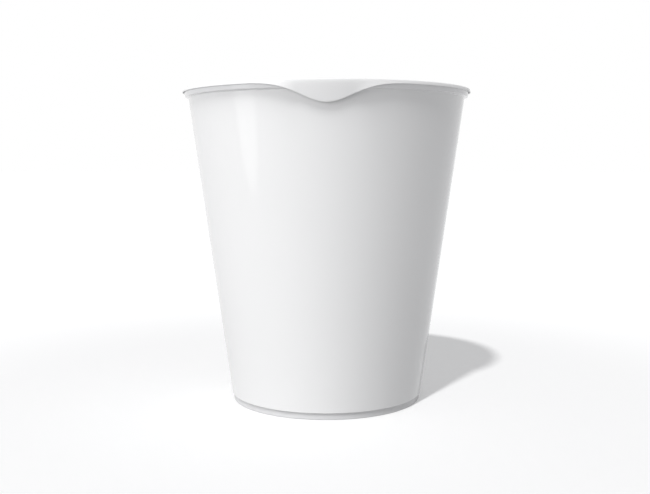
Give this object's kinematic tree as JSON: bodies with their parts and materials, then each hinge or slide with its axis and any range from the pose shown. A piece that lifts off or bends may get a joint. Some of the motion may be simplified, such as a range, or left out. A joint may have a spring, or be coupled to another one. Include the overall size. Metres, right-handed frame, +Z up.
{
  "type": "yogurt cup",
  "caption": "Tapered single-serve yogurt cup of moulded plastic with a foot ring and a beaded rim, sealed with a thin lid whose pull tab is bent down at the front.",
  "frame": {"origin": "on the ground under the cup's axis, in the plane of the foot ring", "axes": "+Z up along the cup's axis; -Y is the front, where the pull tab hangs; +X to the right"},
  "size_m": [0.075, 0.075, 0.0816],
  "materials": {
    "moulded_polypropylene": "white injection-moulded polypropylene, glossy and smooth",
    "lacquered_foil": "white lacquered lid foil, satin"
  },
  "bodies": {
    "root": {"cup": "moulded_polypropylene", "lid": "lacquered_foil"}
  },
  "joints": []
}
